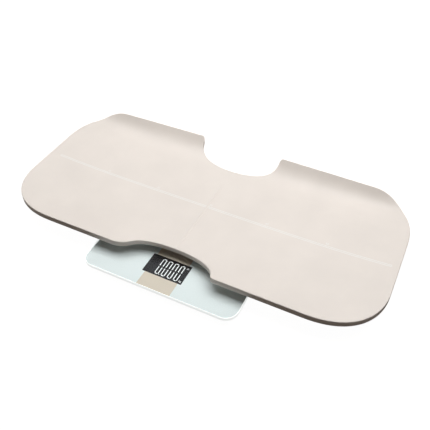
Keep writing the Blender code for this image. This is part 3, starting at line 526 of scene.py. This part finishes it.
def tray_outline():
    """Counter-clockwise plan outline, from the front right corner."""
    front = TRAY_Y - TRAY_DEPTH / 2
    rear = TRAY_Y + TRAY_DEPTH / 2
    outline = corner_points(1, -1, FRONT_CORNER)[::-1]
    outline += corner_points(1, 1, REAR_CORNER)
    side = notch_side(NOTCH_REAR, SHOULDER_REAR)
    outline += [(x, rear - depth) for x, depth in side]
    outline += [(-x, rear - depth) for x, depth in side[-2::-1]]
    outline += corner_points(-1, 1, REAR_CORNER)[::-1]
    outline += corner_points(-1, -1, FRONT_CORNER)
    left = notch_side(NOTCH_FRONT, SHOULDER_FRONT_LEFT)
    outline += [(-x, front + depth) for x, depth in left]
    right = notch_side(NOTCH_FRONT, SHOULDER_FRONT_RIGHT)
    outline += [(x, front + depth) for x, depth in right[-2::-1]]
    return outline


def evened(outline, spacing):
    """The outline with its long straight runs divided."""
    points = []
    for index, point in enumerate(outline):
        start, end = Vector(point), Vector(outline[(index + 1) % len(outline)])
        parts = max(1, round((end - start).length / spacing))
        points += [tuple(start.lerp(end, part / parts)) for part in range(parts)]
    return points


def inset(outline, distance):
    """The outline moved inwards by a distance, along the normal at each point."""
    moved = []
    for index, point in enumerate(outline):
        before = Vector(outline[index - 1])
        after = Vector(outline[(index + 1) % len(outline)])
        along = (after - before).normalized()
        moved.append((point[0] - along.y * distance, point[1] + along.x * distance))
    return moved


def rounded_rectangle(half_x, half_y, radius, middle=(0, 0), steps=24):
    """Counter-clockwise outline of a rectangle with round corners."""
    outline = []
    for corner, (side_x, side_y) in enumerate([(1, 1), (-1, 1), (-1, -1), (1, -1)]):
        centre_x = middle[0] + side_x * (half_x - radius)
        centre_y = middle[1] + side_y * (half_y - radius)
        for step in range(steps + 1):
            angle = (corner + step / steps) * math.pi / 2
            outline.append((centre_x + radius * math.cos(angle), centre_y + radius * math.sin(angle)))
    return outline


# --- making pieces -----------------------------------------------------------------------------
def piece(form, name, body, surfaces, smooth=True):
    """A finished piece from a bmesh, riding on a body."""
    bmesh.ops.recalc_face_normals(form, faces=form.faces)
    mesh = bpy.data.meshes.new(name)
    form.to_mesh(mesh)
    form.free()
    for surface in surfaces:
        mesh.materials.append(surface)
    made = bpy.data.objects.new(name, mesh)
    bpy.context.scene.collection.objects.link(made)
    if smooth:
        mesh.shade_smooth()
    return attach(made, body)


def bridge(form, first, second):
    """Faces between two closed loops of as many vertices."""
    for index in range(len(first)):
        following = (index + 1) % len(first)
        form.faces.new((first[index], first[following], second[following], second[index]))


def arc(radius, steps):
    """Quarter round, as (inset, drop) pairs from the flat top to the upright side."""
    turns = [step / steps * math.pi / 2 for step in range(steps + 1)]
    return [(radius * (1 - math.sin(turn)), radius * (1 - math.cos(turn))) for turn in turns]


def thicken(made, thickness):
    """Gives a flat piece a thickness, half of it on each side."""
    layer = made.modifiers.new("thickness", "SOLIDIFY")
    layer.thickness = thickness
    layer.offset = 0


# --- weighing tray -----------------------------------------------------------------------------
def inner_points(boundary, clearance):
    """Even grid of plan points inside a closed boundary, none nearer to it than the clearance."""
    edge = np.array(boundary)
    start, end = edge, np.roll(edge, -1, axis=0)
    low, high = edge.min(axis=0), edge.max(axis=0)
    columns = int((high[0] - low[0]) / GRID_STEP)
    rows = int((high[1] - low[1]) / GRID_STEP)
    kept = []
    for column in range(-columns // 2, columns // 2 + 1):
        x = (column + 0.5) * GRID_STEP
        for row in range(rows + 1):
            y = low[1] + row * GRID_STEP
            point = np.array((x, y))
            run = end - start
            share = np.clip(((point - start) * run).sum(axis=1) / (run * run).sum(axis=1), 0, 1)
            nearest = np.hypot(*(start + share[:, None] * run - point).T).min()
            if nearest < clearance:
                continue
            crosses = (start[:, 1] > y) != (end[:, 1] > y)
            at = start[crosses, 0] + (y - start[crosses, 1]) / run[crosses, 1] * run[crosses, 0]
            if np.count_nonzero(at > x) % 2:
                kept.append((x, y))
    return kept


def groove_depth(x, y):
    """Depth of the moulded line across the tray's middle: a narrow V, blunt at the bottom."""
    if abs(x) > (GROOVE_HALF + GROOVE_FLOOR_HALF) / 2:
        return 0.0
    reach = min(y - GROOVE_FRONT_Y, GROOVE_REAR_Y - y)
    return GROOVE_DEPTH * max(0.0, min(1.0, reach / GROOVE_RUN_OUT))


def groove_points():
    """Rows of plan points across the groove: its two edges and the two sides of its floor."""
    points = []
    steps = round((GROOVE_REAR_Y - GROOVE_FRONT_Y) / GROOVE_STEP)
    for step in range(steps + 1):
        y = GROOVE_FRONT_Y + (GROOVE_REAR_Y - GROOVE_FRONT_Y) * step / steps
        points += [(x, y) for x in (-GROOVE_HALF, -GROOVE_FLOOR_HALF, GROOVE_FLOOR_HALF, GROOVE_HALF)]
    return points


def cap_tray(form, loop, extra, drop):
    """Fills a loop of the tray with an evenly meshed sheet, drop below the tray's upper surface."""
    boundary = [(vertex.co.x, vertex.co.y) for vertex in loop]
    inner = inner_points(boundary, GRID_CLEARANCE) + extra
    plan = [Vector(point) for point in boundary + inner]
    outline = [list(range(len(boundary)))]
    places, _, faces, sources, _, _ = delaunay_2d_cdt(plan, [], outline, 1, SAME_POINT)
    vertices = []
    for point, source in zip(places, sources):
        if source and source[0] < len(boundary):
            vertices.append(loop[source[0]])
            continue
        depth = groove_depth(point.x, point.y) if extra else 0.0
        vertices.append(form.verts.new((point.x, point.y, tray_height(point.x, point.y) - drop - depth)))
    for face in faces:
        form.faces.new([vertices[index] for index in face])


def tray_loops(form, outline):
    """Closed loops round the tray's rim, from its upper sheet over the edge to its lower sheet."""
    section = arc(RIM_RADIUS, 6)
    section += [(0.0, RIM_RADIUS + share * (SKIRT - RIM_RADIUS - FOOT_RADIUS)) for share in (0.35, 0.7, 1.0)]
    foot = arc(FOOT_RADIUS, 3)
    section += [(side, SKIRT - drop) for side, drop in foot[::-1][1:]]
    section += [(SKIRT_WALL - side, SKIRT - drop) for side, drop in foot]
    inner = arc(INNER_FILLET, 4)
    section += [(SKIRT_WALL + INNER_FILLET - run, PANEL + INNER_FILLET - rise) for rise, run in inner]
    loops = []
    for side, drop in section:
        ring = inset(outline, side)
        loops.append([form.verts.new((x, y, skirt_height(x, y, drop))) for x, y in ring])
    return loops


def add_rib(form, start, end, depth):
    """A closed rib under the panel, from one plan point to another."""
    reach = Vector(end) - Vector(start)
    aside = Vector((-reach.y, reach.x)).normalized() * RIB_WALL / 2
    steps = round(reach.length / RIB_STEP)
    sections = []
    for step in range(steps + 1):
        middle = Vector(start) + reach * step / steps
        high = tray_height(*middle) - PANEL + RIB_OVERLAP
        low = tray_height(*middle) - depth
        corners = [(aside, high), (-aside, high), (-aside * RIB_TAPER, low), (aside * RIB_TAPER, low)]
        sections.append([form.verts.new((middle.x + shift.x, middle.y + shift.y, height))
                         for shift, height in corners])
    for first, second in zip(sections, sections[1:]):
        bridge(form, first, second)
    form.faces.new(sections[0])
    form.faces.new(sections[-1])


def add_ribs(form):
    """Under each wing, three ribs from front to rear and one along the middle."""
    front = TRAY_LOW.y + SKIRT_WALL - RIB_REACH
    rear = TRAY_HIGH.y - SKIRT_WALL + RIB_REACH
    end = TRAY_HIGH.x - SKIRT_WALL + RIB_REACH
    for side in (-1, 1):
        for x in CROSS_RIBS_X:
            add_rib(form, (side * x, front), (side * x, rear), RIB_DEPTH)
        x = side * END_RIB_X
        add_rib(form, (x, front + END_RIB_MARGIN), (x, rear - END_RIB_MARGIN), RIB_DEPTH)
        add_rib(form, (side * CROSS_RIBS_X[0], TRAY_Y), (side * end, TRAY_Y), MIDDLE_RIB_DEPTH)


def add_boss(form, x, y, low):
    """A bored boss under the panel, for one screw."""
    high = tray_height(x, y) - PANEL + RIB_OVERLAP
    roof = tray_height(x, y) - PANEL - BOSS_ROOF
    root, shoulder = BOSS_RADII
    foot, bevel = BOSS_FOOT
    section = [(root, high), (shoulder, low + bevel), (foot, low), (BOSS_BORE, low), (BOSS_BORE, roof)]
    steps = 28
    loops = []
    for radius, height in section:
        turns = [2 * math.pi * step / steps for step in range(steps)]
        loops.append([form.verts.new((x + radius * math.cos(turn), y + radius * math.sin(turn), height))
                      for turn in turns])
    for first, second in zip(loops, loops[1:]):
        bridge(form, first, second)
    form.faces.new(loops[0])
    form.faces.new(loops[-1])


def make_tray(surfaces):
    form = bmesh.new()
    loops = tray_loops(form, evened(tray_outline(), OUTLINE_STEP))
    for first, second in zip(loops, loops[1:]):
        bridge(form, first, second)
    cap_tray(form, loops[0], groove_points(), 0.0)
    cap_tray(form, loops[-1], [], PANEL)
    add_ribs(form)
    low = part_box("tray_underframe")[1].z + BOSS_GAP
    for x, y in TRAY_SCREWS:
        add_boss(form, x, y, low)
    tray = piece(form, "weighing_tray_shell", "weighing_tray", [surfaces["tray_plastic"]])
    tray.data.set_sharp_from_angle(angle=math.radians(50))
    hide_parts("tray_shell")


# --- ruler on the tray -------------------------------------------------------------------------
def add_ink_bar(form, low, high):
    """A thin bar of ink that follows the tray between two plan corners."""
    pieces_x = max(1, round((high[0] - low[0]) / INK_STEP[0]))
    pieces_y = max(1, round((high[1] - low[1]) / INK_STEP[1]))
    rows = []
    for step_y in range(pieces_y + 1):
        y = low[1] + (high[1] - low[1]) * step_y / pieces_y
        row = []
        for step_x in range(pieces_x + 1):
            x = low[0] + (high[0] - low[0]) * step_x / pieces_x
            row.append(form.verts.new((x, y, tray_height(x, y) + INK_LIFT)))
        rows.append(row)
    for lower, upper in zip(rows, rows[1:]):
        for index in range(pieces_x):
            form.faces.new((lower[index], lower[index + 1], upper[index + 1], upper[index]))


def make_ruler(ink):
    """Double line with a tick each centimetre, longer each five, open where the groove crosses it."""
    form = bmesh.new()
    end = RULER_START + RULER_LENGTH
    for side in (-1, 1):
        y = TRAY_Y + side * RULER_HALF
        for start, finish in ((RULER_START, -RULER_GAP_HALF), (RULER_GAP_HALF, end)):
            add_ink_bar(form, (start, y - RAIL_WIDTH / 2), (finish, y + RAIL_WIDTH / 2))
    for mark in range(round(RULER_LENGTH / CENTIMETRE) + 1):
        x = RULER_START + mark * CENTIMETRE
        reach = 2 * RULER_HALF if mark % 5 == 0 else RULER_HALF * SHORT_TICK
        top = TRAY_Y + RULER_HALF - RAIL_WIDTH / 2
        add_ink_bar(form, (x - TICK_WIDTH / 2, top - reach + RAIL_WIDTH), (x + TICK_WIDTH / 2, top))
    ruler = piece(form, "ruler_print", "weighing_tray", [ink], smooth=False)
    thicken(ruler, INK_THICKNESS)


def add_lettering(form, words, size, place, flat_height=None):
    """Words as flat faces, centred on a plan point, on the tray or at a fixed height."""
    curve = bpy.data.curves.new("lettering", "FONT")
    curve.body = words
    curve.size = size
    curve.align_x = "CENTER"
    curve.align_y = "CENTER"
    guide = bpy.data.objects.new("lettering", curve)
    bpy.context.scene.collection.objects.link(guide)
    graph = bpy.context.evaluated_depsgraph_get()
    mesh = bpy.data.meshes.new_from_object(guide.evaluated_get(graph))
    bpy.data.objects.remove(guide, do_unlink=True)
    first = len(form.verts)
    form.from_mesh(mesh)
    bpy.data.meshes.remove(mesh)
    form.verts.ensure_lookup_table()
    for vertex in form.verts[first:]:
        x, y = vertex.co.x + place[0], vertex.co.y + place[1]
        height = flat_height if flat_height is not None else tray_height(x, y) + INK_LIFT
        vertex.co = (x, y, height)


def make_ruler_numbers(ink):
    """A number of centimetres at every tenth tick between the ruler's ends."""
    form = bmesh.new()
    for mark in range(10, round(RULER_LENGTH / CENTIMETRE), 10):
        x = RULER_START + mark * CENTIMETRE
        add_lettering(form, str(mark), NUMBER_SIZE, (x, TRAY_Y + RULER_HALF + NUMBER_RISE))
    numbers = piece(form, "ruler_numbers", "weighing_tray", [ink], smooth=False)
    thicken(numbers, INK_THICKNESS)


# --- glass platform ----------------------------------------------------------------------------
def make_glass(surfaces):
    """Plate with ground edges and clear, flat upper and lower faces."""
    form = bmesh.new()
    half = (GLASS_HIGH.x - GLASS_LOW.x) / 2
    middle = (0, (GLASS_LOW.y + GLASS_HIGH.y) / 2)
    outline = rounded_rectangle(half, half, GLASS_CORNER, middle)
    upper = [(side, GLASS_HIGH.z - drop) for side, drop in arc(ARRIS, 4)]
    lower = [(side, GLASS_LOW.z + drop) for side, drop in arc(ARRIS, 4)[::-1]]
    loops = []
    for side, height in upper + lower:
        loops.append([form.verts.new((x, y, height)) for x, y in inset(outline, side)])
    for first, second in zip(loops, loops[1:]):
        bridge(form, first, second)
    for face in form.faces:
        face.material_index = 1
    form.faces.new(loops[0])
    form.faces.new(loops[-1])
    # The plate's edge faces get the finish with the painted glow.
    finishes = [surfaces["tempered_glass"], ground_edge("glass_edge_painted_glow")]
    glass = piece(form, "glass_plate", "base", finishes)
    for polygon in glass.data.polygons:
        polygon.use_smooth = polygon.material_index == 1
    # The plate lets all light through to the print and the display below it.
    glass.visible_shadow = False
    glass.visible_diffuse = False
    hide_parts("glass_platform")


def make_print():
    """Enamel behind the glass: pale aqua, a beige stripe, and a window for the display."""
    middle = (0, (GLASS_LOW.y + GLASS_HIGH.y) / 2)
    half = (GLASS_HIGH.x - GLASS_LOW.x) / 2 - PRINT_MARGIN
    curve = bpy.data.curves.new("print", "CURVE")
    curve.dimensions = "2D"
    curve.fill_mode = "BOTH"
    curve.extrude = PRINT_HALF_THICKNESS
    sheet = rounded_rectangle(half, half, GLASS_CORNER - PRINT_MARGIN, middle)
    window = rounded_rectangle(WINDOW[0] / 2, WINDOW[1] / 2, WINDOW_CORNER, WINDOW_PLACE, steps=5)
    for outline in (sheet, window):
        spline = curve.splines.new("POLY")
        spline.points.add(len(outline) - 1)
        for point, (x, y) in zip(spline.points, outline):
            point.co = (x, y, 0, 1)
        spline.use_cyclic_u = True
    guide = bpy.data.objects.new("print", curve)
    bpy.context.scene.collection.objects.link(guide)
    mesh = bpy.data.meshes.new_from_object(guide.evaluated_get(bpy.context.evaluated_depsgraph_get()))
    bpy.data.objects.remove(guide, do_unlink=True)
    form = bmesh.new()
    form.from_mesh(mesh)
    bpy.data.meshes.remove(mesh)
    bmesh.ops.remove_doubles(form, verts=form.verts, dist=WELD)
    bmesh.ops.translate(form, vec=(0, 0, GLASS_LOW.z), verts=form.verts)
    for side in (-1, 1):
        everything = form.verts[:] + form.edges[:] + form.faces[:]
        edge = (WINDOW_PLACE[0] + side * STRIPE_HALF, 0, 0)
        bmesh.ops.bisect_plane(form, geom=everything, dist=WELD, plane_co=edge, plane_no=(1, 0, 0))
    for face in form.faces:
        across = abs(face.calc_center_median().x - WINDOW_PLACE[0])
        face.material_index = 1 if across < STRIPE_HALF else 0
    aqua = printed_enamel("print_aqua", (0.83, 0.915, 0.92))
    beige = printed_enamel("print_beige", (0.73, 0.655, 0.545))
    piece(form, "glass_print", "base", [aqua, beige], smooth=False)


# --- display digits ----------------------------------------------------------------------------
def add_segment(form, start, end):
    """One bar of a digit with mitred ends, between two plan points."""
    run = Vector(end) - Vector(start)
    along = run.normalized()
    aside = Vector((-along.y, along.x)) * STROKE / 2
    first = Vector(start) + along * SEGMENT_GAP
    last = Vector(end) - along * SEGMENT_GAP
    shoulder = along * STROKE / 2
    plan = [first, first + shoulder + aside, last - shoulder + aside, last,
            last - shoulder - aside, first + shoulder - aside]
    lower = [form.verts.new((point.x, point.y, SEGMENT_HEIGHT)) for point in plan]
    upper = [form.verts.new((point.x, point.y, SEGMENT_HEIGHT + SEGMENT_THICKNESS)) for point in plan]
    bridge(form, lower, upper)
    form.faces.new(lower)
    form.faces.new(upper)


def make_digits():
    """Four noughts and a decimal point, with small generic unit marks."""
    form = bmesh.new()
    middle = WINDOW_PLACE[1]
    low, high = middle - DIGIT_HEIGHT / 2, middle + DIGIT_HEIGHT / 2
    for digit in range(4):
        left = DIGIT_LEFT + digit * DIGIT_PITCH
        right = left + DIGIT_WIDTH - STROKE
        for x in (left, right):
            add_segment(form, (x, low), (x, middle - BREAK_HALF))
            add_segment(form, (x, middle + BREAK_HALF), (x, high))
        for y in (low, high):
            add_segment(form, (left, y), (right, y))
    point_x = DIGIT_LEFT + DIGIT_WIDTH + POINT_GAP
    add_segment(form, (point_x - POINT_HALF, low), (point_x + POINT_HALF, low))
    digits = piece(form, "display_digits", "base", [lit_segments("display_white")], smooth=False)
    marks = bmesh.new()
    add_lettering(marks, "kg", UNIT_SIZE, (UNIT_X, low + UNIT_INSET), SEGMENT_HEIGHT)
    add_lettering(marks, "lb", UNIT_SIZE, (UNIT_X, high - UNIT_INSET), SEGMENT_HEIGHT)
    units = piece(marks, "display_units", "base", [lit_segments("display_unit_white")], smooth=False)
    thicken(units, SEGMENT_THICKNESS / 2)


# --- the frame's own nodes ---------------------------------------------------------------------
def finish_nodes(surfaces):
    """Each CAD node that stays gets the finish of its record slot."""
    for part in frame["record"]["subparts"]:
        node = frame["nodes"][part["node"]]
        node.data.materials.clear()
        node.data.materials.append(surfaces[part["material_slot"]])


make_camera()
make_light()
make_floor()
SURFACES = make_materials()
finish_nodes(SURFACES)
make_tray(SURFACES)
INK = ruler_ink("ruler_ink")
make_ruler(INK)
make_ruler_numbers(INK)
make_glass(SURFACES)
make_print()
make_digits()
